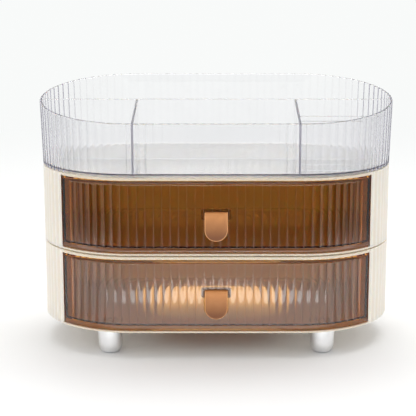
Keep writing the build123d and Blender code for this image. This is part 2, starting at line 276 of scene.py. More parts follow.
def add_piece(name, points, faces, finish, body, nodes, sharp=30.0, values=None):
    """Make a mesh object from points and faces, close its seams, point its faces outwards, dress it and tie
    it to its body. Values are extra numbers for each point, by name."""
    mesh = bpy.data.meshes.new(name)
    mesh.from_pydata(np.asarray(points).tolist(), [], [list(face) for face in faces])
    for key, given in (values or {}).items():
        mesh.attributes.new(key, "FLOAT", "POINT").data.foreach_set("value", np.asarray(given, np.float32))
    work = bmesh.new()
    work.from_mesh(mesh)
    bmesh.ops.remove_doubles(work, verts=work.verts, dist=1e-7)
    bmesh.ops.recalc_face_normals(work, faces=work.faces)
    work.to_mesh(mesh)
    work.free()
    mesh.polygons.foreach_set("use_smooth", np.ones(len(mesh.polygons), bool))
    mesh.set_sharp_from_angle(angle=math.radians(sharp))
    piece = bpy.data.objects.new(name, mesh)
    bpy.context.scene.collection.objects.link(piece)
    mesh.materials.append(finish)
    if isinstance(body, str):
        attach(piece, body)
    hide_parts(*nodes)
    return piece


def round_flutes(piece):
    """Give the flute faces of a copied wall their true normals. A flute is part of a cylinder whose axis lies
    outside the wall, so the normal at a point leans from the outline's direction towards that axis by the
    point's distance from the flute's deepest line divided by the cylinder's radius."""
    s = sizes()
    mesh = piece.data
    straight, total, pitch = half_straight(), outline_length(), flute_pitch()
    most_lean = 0.6  # sine of an angle that no flute reaches
    least_out = 0.85  # cosine of the angle at which a face no longer looks outwards
    most_tilt = 0.01  # upward share of the direction of a face that counts as upright
    points, triangles = mesh_arrays(mesh)
    normals = threes(mesh.corner_normals, "vector")
    flat = np.repeat(threes(mesh.polygons, "normal"), 3, axis=0)
    places = points[triangles.ravel()].astype(float)

    def travel_of(spots):
        """Travel, direction and inset of spots: the way along the middle line plus the turn times half the
        depth, the angle from the middle line, and half the depth less the distance from it."""
        spine = np.clip(spots[:, 0], -straight, straight)
        angle = np.arctan2(spots[:, 1], spots[:, 0] - spine)
        front = spots[:, 1] < 0
        along = np.where(front, spine, total / 2 - spine)
        lean = np.where(front, angle + math.pi / 2, angle - math.pi / 2)
        lean = (lean + math.pi) % (2 * math.pi) - math.pi
        reach = np.hypot(spots[:, 0] - spine, spots[:, 1])
        return along + lean * s.depth / 2, angle, s.depth / 2 - reach

    travel, angle, inset = travel_of(places)
    middles = np.repeat(places.reshape(-1, 3, 3).mean(axis=1), 3, axis=0)
    middle_travel = travel_of(middles)[0]
    across = travel - np.round(middle_travel / pitch) * pitch
    across = (across + total / 2) % total - total / 2
    lean = np.clip(across / flute_radius(), -most_lean, most_lean)
    upright = np.sqrt(1 - lean ** 2)
    out = np.stack((np.cos(angle), np.sin(angle), np.zeros_like(angle)), axis=1)
    side = np.stack((-np.sin(angle), np.cos(angle), np.zeros_like(angle)), axis=1)
    true = out * upright[:, None] - side * lean[:, None]
    outwards = (np.abs(flat[:, 2]) < most_tilt) & ((flat * out).sum(1) > least_out)
    on_flute = (inset < s.flute_depth + HAIR) & outwards
    normals[on_flute] = true[on_flute]
    mesh.normals_split_custom_set(normals.tolist())


def tray_wall():
    """Tray profile carried round the outline. Its rows go from the middle of the underside out to the wall's
    foot, up the fluted outside, over the rounded rim, down the plain inside and in to the floor's middle.
    The wall leans out with height, and the rim is cut by a plane that rises from front to rear."""
    s = sizes()
    travel = flute_travels()
    flute = flute_inset(travel)
    lean = math.tan(s.tray_draft)
    slope = (s.tray_rear - s.tray_front) / s.depth
    flat = np.zeros_like(travel)
    floor = s.nest_depth + s.tray_floor

    def rim(inset):
        """Height of the rim plane over the wall at an inset, allowing for the wall's lean."""
        foot = outline(travel, inset)[1]
        lift = outline(travel, inset - lean)[1] - foot
        return (s.tray_front + slope * (foot + s.depth / 2)) / (1 - slope * lift)

    inner = flat + s.tray_wall
    turns = np.radians(np.arange(0, 91, 18))
    r = s.tray_round
    foot_r, bend = 0.3 * MM, 0.7 * MM  # roundings at the wall's foot and inside, above the floor
    near = 0.25 * MM  # rows this close to a rounding keep the long faces beside it flat
    rows = [(flat + s.depth / 2, flat + s.nest_depth), (flat + s.nest_inset, flat + s.nest_depth),
            (flat + s.nest_inset, flat)]
    rows += [(flute + foot_r * (1 - math.sin(a)), flat + foot_r * (1 - math.cos(a))) for a in turns[::2]]
    outside = range(len(rows), len(rows) + 3)
    rows += [(flute, flat + foot_r), (flute, flat + 2 * foot_r), (flute, rim(flute) - r - near)]
    rows += [(flute + r * (1 - math.cos(a)), rim(flute) - r * (1 - math.sin(a))) for a in turns]
    rows += [(inner - r * (1 - math.sin(a)), rim(inner) - r * (1 - math.cos(a))) for a in turns]
    rows += [(inner, rim(inner) - r - near), (inner, flat + floor + bend + near)]
    rows += [(inner + bend * (1 - math.cos(a)), flat + floor + bend * (1 - math.sin(a))) for a in turns]
    rows += [(inner + bend + near, flat + floor), (flat + s.depth / 2, flat + floor)]
    points, worn = [], []
    for row, (inset, height) in enumerate(rows):
        middle = row in (0, len(rows) - 1)
        x, y = outline(travel, inset if middle else inset - lean * height)
        points.append(np.stack((x, y, s.tray_base + height), axis=1))
        worn.append(ridge_wear_and_shade(travel) * float(row in outside))
    faces = grid_faces(len(rows), len(travel), wrap=True)
    return np.concatenate(points), faces, {"ridge": np.concatenate(worn)}


def drawer_body(base):
    """Drawer as patches between shared edges, at heights above the front's lower edge. The front is a plate
    between the fluted outline and a smaller round-ended outline; the tub behind it is that outline cut at
    both sides, with rounded rear corners. Each patch is a grid; floor and underside are flat outlines."""
    s = sizes()
    straight = half_straight()
    half = DRAWER_HIGH.x
    tub = half - s.drawer_flange
    room = tub - s.drawer_wall
    rear = DRAWER_HIGH.y
    inset = s.drawer_recess + s.drawer_front
    top = DRAWER_HIGH.z - DRAWER_LOW.z
    under = s.drawer_skirt
    floor = under + s.drawer_wall
    rim = top - s.drawer_rim_drop
    low_band = s.frame_bottom
    high_band = top - s.frame_top
    slot_low = s.slot_level - s.slot_height / 2
    slot_high = s.slot_level + s.slot_height / 2
    rounding = 1 - np.cos(np.radians(np.arange(0, 91, 15)))
    rise, scoop = s.edge_round * rounding, s.flute_end * rounding
    levels = np.concatenate(([under, floor, slot_low, slot_high, rim], rise, top - rise,
                             low_band + scoop, high_band - scoop))
    levels = np.unique(np.round(levels, 9))
    crowded = 0.2 * MM  # columns closer than this to the slot's sides are left out
    support = 0.4 * MM  # a column this close to the side wall keeps the plate's inner face flat
    fade = 2 * MM  # length at each end of the front over which its edges' rounding dies away

    # Columns of the front: travels whose x stays within the flange, with the slot's sides among them
    travel = flute_travels()
    travel = np.where(travel > outline_length() / 2, travel - outline_length(), travel)
    reach = s.depth / 2 - s.drawer_recess

    def travel_at(x):
        """Travel of the front's outline at x: x itself along the front, then the arc sine of the rest."""
        bend = np.arcsin(np.clip((np.abs(x) - straight) / reach, 0, 1)) * s.depth / 2
        return np.sign(x) * np.where(np.abs(x) < straight, np.abs(x), straight + bend)

    ridges = (np.arange(s.flutes // 4) + 0.5) * flute_pitch()
    field = max(t for t in ridges if outline(t, 0.0)[0] <= tub)
    end = float(travel_at(np.array([half]))[0])
    slot = s.slot_width / 2
    beyond = np.linspace(field, end, 9)[1:]
    inside = travel[(np.abs(travel) <= field + SAME) & (np.abs(np.abs(travel) - slot) > crowded)]
    across = np.unique(np.round(np.concatenate((inside, [-slot, slot, field], beyond, -beyond)), 9))
    in_field = np.abs(across) <= field + SAME
    fluted = np.where(in_field, flute_inset(across), 0.0)
    plain_x, plain_y = outline(across, np.full_like(across, s.drawer_recess))
    flute_x, flute_y = outline(across, s.drawer_recess + fluted)

    # The same columns on the plate's inner face, with those of the side wall's two faces at the ends
    span = s.depth - inset - (s.depth / 2 - rear + s.drawer_wall)
    centre = rear - s.drawer_wall - span / 2
    past = np.abs(plain_x) - straight
    inner_x = np.sign(plain_x) * np.where(past < 0, np.abs(plain_x),
                                          straight + past * (room - straight) / past[3])
    inner_x[[0, 1, 2, -3, -2, -1]] = [-half, -tub, -room, room, tub, half]
    inner_x[[3, -4]] = [-room + support, room - support]
    back_y = centre - np.sqrt((span / 2) ** 2 - np.clip(np.abs(inner_x) - straight, 0, None) ** 2)
    ins = slice(2, len(across) - 2)

    def tub_path(side, front_gap, rear_y, corner, start):
        """Plan line of the tub from the right end of the plate round the rear to its left end: a straight
        side, a corner arc that touches it and the round end, and that end's arc, mirrored."""
        ring_radius = (rear_y - (-s.depth / 2 + front_gap)) / 2
        ring_middle = rear_y - ring_radius
        offset = side - corner - straight
        corner_y = ring_middle + math.sqrt((ring_radius - corner) ** 2 - offset ** 2)
        tilt = math.atan2(corner_y - ring_middle, offset)
        swing = np.linspace(0, tilt, 9)
        arc = np.linspace(tilt, math.pi / 2, 40)[1:]
        x = np.concatenate(([side], straight + offset + corner * np.cos(swing),
                            straight + ring_radius * np.cos(arc)))
        y = np.concatenate(([start], corner_y + corner * np.sin(swing),
                            ring_middle + ring_radius * np.sin(arc)))
        return np.concatenate((x, -x[::-1])), np.concatenate((y, y[::-1]))

    outer = tub_path(tub, inset - s.drawer_front / 2, rear, s.drawer_corner, back_y[-2])
    inner = tub_path(room, inset, rear - s.drawer_wall, s.drawer_corner - s.drawer_wall, back_y[-3])

    points, faces, worn = [], [], []

    def patch(grid, hole=None, wear=None):
        """Add a grid of points as quads, leaving out the quads whose row and column lie in hole. Wear is the
        scuffing of its columns."""
        rows, columns = grid.shape[:2]
        quads = grid_faces(rows, columns).reshape(rows - 1, columns - 1, 4)
        keep = np.ones((rows - 1, columns - 1), bool)
        if hole:
            keep[hole] = False
        faces.extend((quads[keep] + sum(len(p) for p in points)).tolist())
        points.append(grid.reshape(-1, 3))
        worn.append(np.zeros(rows * columns) if wear is None else np.tile(wear, rows))

    def lifted(line, height):
        """Points of a plan line at a height."""
        return np.stack((*line, np.full_like(line[0], base + height)), axis=-1)

    def upright(line, heights):
        """Wall over one plan line at the given heights."""
        return np.stack([lifted(line, height) for height in heights])

    def rounded(line_at, heights):
        """Wall over the plan lines that belong to the given heights."""
        return np.stack([lifted(line_at(height), height) for height in heights])

    def level_strip(first, second, height):
        """Flat strip between two plan lines at one height."""
        return np.stack((lifted(first, height), lifted(second, height)))

    def inner_line(columns):
        """Plan line of the plate's inner face over some columns."""
        return inner_x[columns], back_y[columns]

    def plate_end(column, line, heights):
        """Wall through the plate at one column, from a plan line of its outside to its inner face."""
        ends = [np.array([out[column], back[column]]) for out, back in zip(line, (inner_x, back_y))]
        return upright(ends, heights)

    def edge_line(height):
        """Plan line of the plain bands at a height: a quarter circle takes it back near the upper and lower
        edges, less so at the ends of the front."""
        near = np.clip(s.edge_round - min(height, top - height), 0, None)
        drawn = s.edge_round - math.sqrt(max(s.edge_round ** 2 - near ** 2, 0))
        return outline(across, s.drawer_recess + drawn * np.clip((end - np.abs(across)) / fade, 0, 1))

    def flute_line(height):
        """Plan line of the fluted field at a height: at both ends the flutes run out along a quarter of an
        ellipse."""
        share = np.clip(min(height - low_band, high_band - height) / s.flute_end, 0, 1)
        return outline(across, s.drawer_recess + fluted * math.sqrt(1 - (1 - share) ** 2))

    def flat_face(plate, round_tub, height):
        """One flat face at a height, bounded by a plan line of the plate and one round the tub."""
        line = [np.concatenate((along, back[1:-1])) for along, back in zip(plate, round_tub)]
        start = sum(len(p) for p in points)
        points.append(lifted(line, height))
        worn.append(np.zeros(len(line[0])))
        faces.append(list(range(start, start + len(line[0]))))

    def level_rows(low, high):
        """Levels from low to high, with both of them."""
        return levels[(levels >= low - SAME) & (levels <= high + SAME)]

    def quads_between(values, low, high):
        """Slice of the quads between the values nearest to low and to high."""
        return slice(*(int(np.argmin(np.abs(values - value))) for value in (low, high)))

    # Outside of the front: plain bands above and below the fluted field, with the slot left out
    rows = level_rows(low_band, high_band)
    columns = quads_between(across, -slot, slot)
    scuffed = np.where(in_field, ridge_wear_and_shade(across), 0.0)
    patch(rounded(edge_line, level_rows(0, low_band)))
    patch(rounded(flute_line, rows), (quads_between(rows, slot_low, slot_high), columns), scuffed)
    patch(rounded(edge_line, level_rows(high_band, top)))
    # Top and bottom edges and both ends of the plate
    for height in (0, top):
        patch(level_strip(edge_line(height), (inner_x, back_y), height))
    for column in (0, -1):
        patch(plate_end(column, (plain_x, plain_y), levels))
    # Inside of the plate: the room's face, the strips over the side walls, the flange's and the skirt's back
    rows = level_rows(floor, top)
    shifted = slice(columns.start - ins.start, columns.stop - ins.start)
    patch(upright(inner_line(ins), rows), (quads_between(rows, slot_low, slot_high), shifted))
    for side in (slice(1, 3), slice(-3, -1)):
        patch(upright(inner_line(side), level_rows(rim, top)))
    for side in (slice(0, 2), slice(-2, None)):
        patch(upright(inner_line(side), levels))
    patch(upright(inner_line(slice(1, -1)), level_rows(0, under)))
    # Slot: its roof and floor, then its two sides
    walls = slice(columns.start, columns.stop + 1)
    for height in (slot_low, slot_high):
        patch(level_strip((flute_x[walls], flute_y[walls]), inner_line(walls), height))
    for column in (columns.start, columns.stop):
        patch(plate_end(column, (flute_x, flute_y), (slot_low, slot_high)))
    # Tub: outside, inside, rim, underside and floor
    patch(upright(outer, level_rows(under, rim)))
    patch(upright(inner, level_rows(floor, rim)))
    patch(level_strip(outer, inner, rim))
    flat_face(inner_line(slice(1, -1)), outer, under)
    flat_face(inner_line(ins), inner, floor)
    return np.concatenate(points), faces, {"ridge": np.concatenate(worn)}


def strap(tongue_low, tongue_high, fold, start):
    """Leather strap as a band carried along a path: in through the slot, round the fold and down to a
    half-round end. Across the band a point's height off the middle sheet follows a quarter circle near the
    outline and a low crown further in; the same band mirrored gives the back."""
    s = sizes()
    wide = (tongue_high.x - tongue_low.x) / 2
    thick = (tongue_high.y - tongue_low.y) / 2
    hang = (tongue_low.y + tongue_high.y) / 2
    bend = 1.15 * thick  # radius of the middle sheet at the fold
    crown_reach = 0.6 * wide  # from the outline to where the crown is full
    gathering = 1.25  # power that draws the columns towards the outline
    quarter = math.pi / 2 * bend
    run_in = start - (hang + bend)
    drop = fold - bend - (tongue_low.z + wide)
    ends = np.sin(np.linspace(0, math.pi / 2, 18))
    travel = np.concatenate((np.linspace(0, run_in, 6)[:-1], run_in + np.linspace(0, quarter, 11)[:-1],
                             run_in + quarter + np.linspace(0, drop, 12)[:-1],
                             run_in + quarter + drop + wide * ends))
    past = np.clip(travel - run_in - quarter - drop, 0, wide)
    half = np.sqrt(np.maximum(wide ** 2 - past ** 2, 0))
    turn = np.clip((travel - run_in) / bend, 0, math.pi / 2)
    fallen = np.clip(travel - run_in - quarter, 0, None)
    path_y = np.where(travel < run_in, start - travel, hang + bend - bend * np.sin(turn))
    path_z = fold - bend * (1 - np.cos(turn)) - fallen
    spread = np.sin(np.linspace(-math.pi / 2, math.pi / 2, 33))
    spread = np.sign(spread) * (1 - (1 - np.abs(spread)) ** gathering)
    x = half[:, None] * spread
    edge = np.where(past[:, None] > 0, wide - np.hypot(x, past[:, None]), wide - np.abs(x))
    near = np.clip(edge, 0, s.pull_round)
    body = thick - s.pull_crown - s.pull_round + np.sqrt(s.pull_round ** 2 - (s.pull_round - near) ** 2)
    lift = body + s.pull_crown * np.clip(edge / crown_reach, 0, 1) ** 0.5
    off_y, off_z = -np.sin(turn)[:, None] * lift, np.cos(turn)[:, None] * lift
    front = np.stack((x, path_y[:, None] + off_y, path_z[:, None] + off_z), axis=-1)
    back = np.stack((x, path_y[:, None] - off_y, path_z[:, None] - off_z), axis=-1)
    loop = np.concatenate((front, back[:, ::-1]), axis=1)
    rows, columns = loop.shape[:2]
    faces = grid_faces(rows, columns, wrap=True).tolist()
    faces.append(list(range(columns)))
    edges = np.concatenate((edge, edge[:, ::-1]), axis=1)
    along = np.broadcast_to(travel[:, None], edges.shape)
    return loop.reshape(-1, 3), faces, {"edge": edges.ravel(), "along": along.ravel()}


def cushion_block(low, high, power):
    """Rounded block as a superellipsoid: cosines and sines of two angles raised to a small power, scaled to
    the box."""
    rows, columns = 33, 64
    middle = np.array((low + high) / 2)
    reach = np.array((high - low) / 2)
    up = np.linspace(-math.pi / 2, math.pi / 2, rows)[:, None]
    around = np.linspace(0, 2 * math.pi, columns, endpoint=False)[None, :]

    def bent(value):
        """Value raised to the power, with its sign kept."""
        return np.sign(value) * np.abs(value) ** power

    x = bent(np.cos(up)) * bent(np.cos(around))
    z = bent(np.cos(up)) * bent(np.sin(around))
    y = bent(np.sin(up)) * np.ones_like(around)
    points = np.stack((x, y, z), axis=-1).reshape(-1, 3) * reach + middle
    return points, grid_faces(rows, columns, wrap=True)


def foot_turn(low, high):
    """Foot as a turned profile: a flat, a quarter of a superellipse up to the waist, a slightly widening
    neck, the shoulder and the spigot, carried round the foot's axis."""
    s = sizes()
    columns = 72
    power = 0.9  # of the superellipse's sine and cosine
    spigot = 6 * MM
    middle = (low + high) / 2
    shoulder = SHELL_LOW.z - 0.3 * MM  # the base plate's underside
    flat, waist, top = s.foot_flat / 2, s.foot_waist / 2, (high.x - low.x) / 2
    swing = np.linspace(0, math.pi / 2, 20)
    ball_r = flat + (waist - flat) * np.sin(swing) ** power
    ball_z = s.foot_round * (1 - np.cos(swing) ** power)
    neck_r = np.linspace(waist, top, 6)[1:]
    neck_z = np.linspace(s.foot_round, shoulder, 6)[1:]
    radius = np.concatenate(([0], ball_r, neck_r, [spigot, spigot, 0]))
    height = np.concatenate(([0], ball_z, neck_z, [shoulder, high.z, high.z]))
    around = np.linspace(0, 2 * math.pi, columns, endpoint=False)
    x = middle.x + radius[:, None] * np.cos(around)
    y = middle.y + radius[:, None] * np.sin(around)
    z = np.broadcast_to(height[:, None], x.shape)
    return np.stack((x, y, z), axis=-1).reshape(-1, 3), grid_faces(len(radius), columns, wrap=True)


# Finishes


def set_inputs(tree, node, inputs):
    """Set a node's inputs by name or number, or link them where the value is another node's output."""
    for key, value in inputs.items():
        if isinstance(value, bpy.types.NodeSocket):
            tree.links.new(value, node.inputs[key])
        else:
            node.inputs[key].default_value = value


def add(tree, kind, inputs=None, **settings):
    """Add a shader node of a kind, then set its properties and its inputs."""
    made = tree.nodes.new(f"ShaderNode{kind}")
    for key, value in settings.items():
        setattr(made, key, value)
    set_inputs(tree, made, inputs or {})
    return made


def worked(tree, operation, *values, clamp=False):
    """Result of an arithmetic operation on one to three values."""
    return add(tree, "Math", dict(enumerate(values)), operation=operation, use_clamp=clamp).outputs[0]


def combined(tree, operation, value, *others):
    """Values joined one after another by an operation, to their product or to the largest of them."""
    for other in others:
        value = worked(tree, operation, value, other)
    return value


def ranged(tree, value, start=0.0, end=1.0, low=0.0, high=1.0):
    """Value moved from the range start to end to the range low to high, and held at its ends."""
    inputs = {"Value": value, "From Min": start, "From Max": end, "To Min": low, "To Max": high}
    return add(tree, "MapRange", inputs).outputs[0]


def mixed(tree, first, second, factor):
    """Colour between two colours, given or from other nodes, by a factor that changes over the surface."""
    tones = [tone if isinstance(tone, bpy.types.NodeSocket) else (*tone, 1.0) for tone in (first, second)]
    return add(tree, "Mix", {0: factor, 6: tones[0], 7: tones[1]}, data_type="RGBA").outputs[2]


def between(tree, first, second, factor):
    """Number between two numbers by a factor that changes over the surface."""
    return add(tree, "Mix", {0: factor, 2: first, 3: second}, data_type="FLOAT").outputs[0]


def carried(tree, name):
    """Number that a piece carries on its points or faces under a name."""
    return add(tree, "Attribute", attribute_name=name).outputs["Fac"]


def bumped(tree, height, strength, distance):
    """Normals of a surface with a fine relief."""
    return add(tree, "Bump", {"Height": height, "Strength": strength, "Distance": distance}).outputs[0]


def clouds(tree, place, scale, detail, distortion=0.0):
    """Outputs of a noise over a place."""
    inputs = {"Vector": place, "Scale": scale, "Detail": detail, "Distortion": distortion}
    return add(tree, "TexNoise", inputs).outputs


def effect(name, inputs, outputs, build):
    """A shader node group, made once: float inputs with defaults, float outputs, and a function that fills
    it from a place on the surface and its inputs."""
    if name in bpy.data.node_groups:
        return bpy.data.node_groups[name]
    tree = bpy.data.node_groups.new(name, "ShaderNodeTree")
    for key, value in inputs.items():
        tree.interface.new_socket(key, in_out="INPUT", socket_type="NodeSocketFloat").default_value = value
    for key in outputs:
        tree.interface.new_socket(key, in_out="OUTPUT", socket_type="NodeSocketFloat")
    start = tree.nodes.new("NodeGroupInput")
    end = tree.nodes.new("NodeGroupOutput")
    place = add(tree, "TexCoord").outputs["Object"]
    for key, socket in build(tree, place, start.outputs).items():
        tree.links.new(socket, end.inputs[key])
    return tree


def moulded_grain():
    """Moulded skin: a fine pebble for the height and broad soft clouds for the tone."""

    def build(tree, place, start):
        pebble = clouds(tree, place, start["Grain"], 3.0)[0]
        cloud = clouds(tree, place, start["Cloud"], 2.0)[0]
        return {"Height": pebble, "Tone": ranged(tree, cloud, 0.3, 0.7)}

    return effect("moulded grain", {"Grain": 3000.0, "Cloud": 25.0}, ("Height", "Tone"), build)


def handling_marks():
    """Clear or polished surfaces: long waves left by the mould for the height, faint smears for the mask."""

    def build(tree, place, start):
        wave = clouds(tree, place, start["Wave"], 1.0)[0]
        smear = clouds(tree, place, start["Smear"], 6.0, 1.2)[0]
        return {"Height": wave, "Mask": ranged(tree, smear, 0.45, 0.75)}

    return effect("handling marks", {"Wave": 60.0, "Smear": 30.0}, ("Height", "Mask"), build)


def leather_grain():
    """Leather: small rounded cells with creases between them, and a slow change of tone."""

    def build(tree, place, start):
        warp = clouds(tree, place, start["Cells"], 2.0)["Color"]
        shift = add(tree, "VectorMath", {0: warp, 1: (0.6 * MM,) * 3}, operation="MULTIPLY").outputs[0]
        moved = add(tree, "VectorMath", {0: place, 1: shift}, operation="ADD").outputs[0]
        cells = add(tree, "TexVoronoi", {"Vector": moved, "Scale": start["Cells"]},
                    feature="DISTANCE_TO_EDGE")
        patch = clouds(tree, place, start["Patch"], 4.0)[0]
        return {"Height": ranged(tree, cells.outputs["Distance"], 0.0, 0.22),
                "Tone": ranged(tree, patch, 0.35, 0.7)}

    return effect("leather grain", {"Cells": 1500.0, "Patch": 180.0}, ("Height", "Tone"), build)


def blank_finish(name):
    """A new material with its Principled shader, ready for its inputs."""
    finish = bpy.data.materials.new(name)
    finish.use_nodes = True
    return finish, finish.node_tree, finish.node_tree.nodes["Principled BSDF"]


def cream_finish():
    """Satin cream plastic that lets some light in: fine grain, broad clouds of tone and gloss, and painted
    shade, a darker warm cream, by the share that a piece carries on its points."""
    c = colours()
    finish, tree, shader = blank_finish("cream plastic")
    grain = add(tree, "Group", {"Grain": 2600.0, "Cloud": 22.0}, node_tree=moulded_grain()).outputs
    tone = mixed(tree, c.cream, c.cream_shade, grain["Tone"])
    set_inputs(tree, shader, {
        # Painted shade mixed into the cream by the share that the piece carries
        "Base Color": mixed(tree, tone, c.cream_painted_shade, carried(tree, "hollow")),
        "Roughness": ranged(tree, grain["Tone"], low=0.29, high=0.39),
        "Normal": bumped(tree, grain["Height"], strength=0.12, distance=0.1 * MM),
        "Subsurface Weight": 0.45,
        "Subsurface Radius": (1.0, 0.8, 0.58),
        "Subsurface Scale": 2 * MM,
    })
    return finish


def clear_finish(name, tint, density, smear, scuff, ior, haze=0.0, line=0.0):
    """See-through plastic: plain refraction, absorption in depth, faint mould waves, handling smears and
    scuffed ridges, with painted shade: the ridges darken by the share line where they are seen edge-on."""
    finish, tree, shader = blank_finish(name)
    marks = add(tree, "Group", {"Wave": 45.0, "Smear": smear}, node_tree=handling_marks()).outputs
    ridge = carried(tree, "ridge")
    smears = ranged(tree, marks["Mask"], low=haze, high=haze + 0.05)
    tone = mixed(tree, (1.0, 1.0, 1.0), (0.985, 0.985, 0.985), marks["Mask"])
    # Painted shade: scuffed ridges turn dark where the surface is seen edge-on
    if line:
        facing = add(tree, "LayerWeight", {"Blend": 0.5}).outputs["Facing"]
        edge_on = ranged(tree, facing, 0.32, 0.6, high=line)
        tone = mixed(tree, tone, colours().painted_ridge_shade, worked(tree, "MULTIPLY", ridge, edge_on))
    set_inputs(tree, shader, {
        "Base Color": tone,
        "Roughness": worked(tree, "ADD", smears, ranged(tree, ridge, high=scuff)),
        "IOR": ior,
        "Transmission Weight": 1.0,
        "Normal": bumped(tree, marks["Height"], strength=0.05, distance=0.4 * MM),
    })
    depth = add(tree, "VolumeAbsorption", {"Color": (*tint, 1.0), "Density": density})
    tree.links.new(depth.outputs[0], tree.nodes["Material Output"].inputs["Volume"])
    return finish


def leather_finish(name, main, dark, painted=None, tip=None):
    """Leather with grain. On the pulls a painted edge runs along the band's outline, and painted shade
    darkens the leather from the fold towards the tip."""
    finish, tree, shader = blank_finish(name)
    grain = add(tree, "Group", {"Cells": 1400.0, "Patch": 160.0}, node_tree=leather_grain()).outputs
    tone = mixed(tree, main, dark, grain["Tone"])
    rough = ranged(tree, grain["Tone"], low=0.42, high=0.56)
    if painted is not None:
        # Painted shade: darker from the fold down towards the tip
        tone = mixed(tree, tone, tip, ranged(tree, carried(tree, "along"), 7 * MM, 24 * MM))
        line = ranged(tree, carried(tree, "edge"), 0.7 * MM, 0.3 * MM)
        tone = mixed(tree, tone, painted, line)
        rough = between(tree, rough, 0.3, line)
    set_inputs(tree, shader, {
        "Base Color": tone,
        "Roughness": rough,
        "Normal": bumped(tree, grain["Height"], strength=0.35, distance=0.1 * MM),
        "Specular IOR Level": 0.3,
    })
    return finish


def metal_finish(name, main, dull, rough, smear):
    """Plated metal with duller smears."""
    finish, tree, shader = blank_finish(name)
    marks = add(tree, "Group", {"Wave": 900.0, "Smear": smear}, node_tree=handling_marks()).outputs
    set_inputs(tree, shader, {
        "Base Color": mixed(tree, main, dull, marks["Mask"]),
        "Metallic": 1.0,
        "Roughness": ranged(tree, marks["Mask"], low=rough, high=rough + 0.12),
        "Normal": bumped(tree, marks["Height"], strength=0.06, distance=0.1 * MM),
    })
    return finish


def dress_node(node, finish):
    """Give a CAD node that stays visible its finish."""
    mesh = frame["nodes"][node].data
    mesh.materials.clear()
    mesh.materials.append(finish)


# Operators


class ORGANIZER_OT_cabinets(bpy.types.Operator):
    """Dress both cabinets: shells with smooth flutes, and their base plates"""

    bl_idname = "organizer.cabinets"
    bl_label = "Cabinets"

    def execute(self, context):
        finish = cream_finish()
        relief = sizes().seam_relief
        deepest = 1.1  # share of the flute depth within which a point lies on the outside
        for tier in TIERS:
            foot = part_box(f"{tier}_base_plate")[0].z
            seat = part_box(f"{tier}_shell")[1].z - sizes().nest_ring
            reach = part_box(f"{tier}_drawer_tub")[1].x
            for part, edge, moved in (("shell", seat, -relief), ("base_plate", foot, relief)):
                points, triangles = mesh_arrays(frame["nodes"][f"{tier}_{part}"].data)
                share = outline_gap(points) / sizes().flute_depth
                outside = share < deepest
                points[outside & (np.abs(points[:, 2] - edge) < HAIR), 2] += moved
                # The lips that frame the drawers get painted shade, standing in for the warm light bounced
                # from the amber fronts
                lip = (np.abs(points[:, 0]) < reach) & (points[:, 1] < 0)
                # Painted shade: full on the lips, and growing towards the bottom of each flute elsewhere on
                # the outside
                painted_shade_level = np.where(lip, LIP_PAINTED_SHADE, FLUTE_PAINTED_SHADE * np.clip(share, 0, 1))
                hollow = np.where(outside, painted_shade_level, 0)
                piece = add_piece(f"{tier}_fluted_{part}", points, triangles, finish, f"{tier}_cabinet",
                                  [f"{tier}_{part}"], values={"hollow": hollow})
                round_flutes(piece)
        return {"FINISHED"}


class ORGANIZER_OT_drawers(bpy.types.Operator):
    """Make both amber drawers with their fluted fronts"""

    bl_idname = "organizer.drawers"
    bl_label = "Drawers"

    def execute(self, context):
        finish = clear_finish("amber plastic", colours().amber, density=500.0, smear=26.0, scuff=0.3,
                              ior=1.59, haze=0.02)
        for tier in TIERS:
            points, faces, values = drawer_body(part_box(f"{tier}_drawer_tub")[0].z)
            add_piece(f"{tier}_amber_drawer", points, faces, finish, f"{tier}_drawer",
                      [f"{tier}_drawer_tub"], values=values)
        return {"FINISHED"}


class ORGANIZER_OT_tray(bpy.types.Operator):
    """Make the clear tray with its fluted wall"""

    bl_idname = "organizer.tray"
    bl_label = "Tray"

    def execute(self, context):
        # The tray's ridges get the painted dark line where they are seen edge-on
        finish = clear_finish("clear plastic", colours().clear, density=80.0, smear=20.0, scuff=0.05,
                              ior=1.49, line=0.95)
        points, faces, values = tray_wall()
        add_piece("clear_tray", points, faces, finish, "top_tray", ["tray_tub"],
                  values=values)
        return {"FINISHED"}


class ORGANIZER_OT_dividers(bpy.types.Operator):
    """Make the tray's dividers with softened edges"""

    bl_idname = "organizer.dividers"
    bl_label = "Dividers"

    def execute(self, context):
        s = sizes()
        finish = clear_finish("divider plastic", colours().clear, density=45.0, smear=20.0, scuff=0.4,
                              ior=1.49)
        floor_air = 0.06 * MM  # left between a divider and the tray's floor
        floor = s.tray_base + s.nest_depth + s.tray_floor + floor_air
        for node, butt in DIVIDER_ENDS.items():
            points, triangles = mesh_arrays(frame["nodes"][node].data)
            if butt:
                axis, side = butt
                reach = side * points[:, axis]
                points[reach > reach.max() - HAIR, axis] -= side * s.divider_gap
            foot = points[:, 2].min()
            points[:, 2] = np.where(points[:, 2] < foot + 2 * HAIR, floor, points[:, 2])
            piece = add_piece(f"{node}_sheet", points, triangles, finish, "top_tray", [node])
            mesh = piece.data
            work = bmesh.new()
            work.from_mesh(mesh)
            bmesh.ops.dissolve_limit(work, angle_limit=math.radians(2), verts=work.verts, edges=work.edges)
            work.to_mesh(mesh)
            work.free()
            # The narrow faces are matt: those that don't face along the sheet's thinnest direction
            thin = int(np.argmin(np.ptp(points, axis=0)))
            matt = (np.abs(threes(mesh.polygons, "normal")[:, thin]) < 0.5).astype(np.float32)
            mesh.attributes.new("ridge", "FLOAT", "FACE").data.foreach_set("value", matt)
            soften = piece.modifiers.new("Soft edges", "BEVEL")
            soften.width = s.divider_round
            soften.segments = 2
            soften.harden_normals = True
            soften.limit_method = "ANGLE"
            soften.angle_limit = math.radians(50)
        return {"FINISHED"}


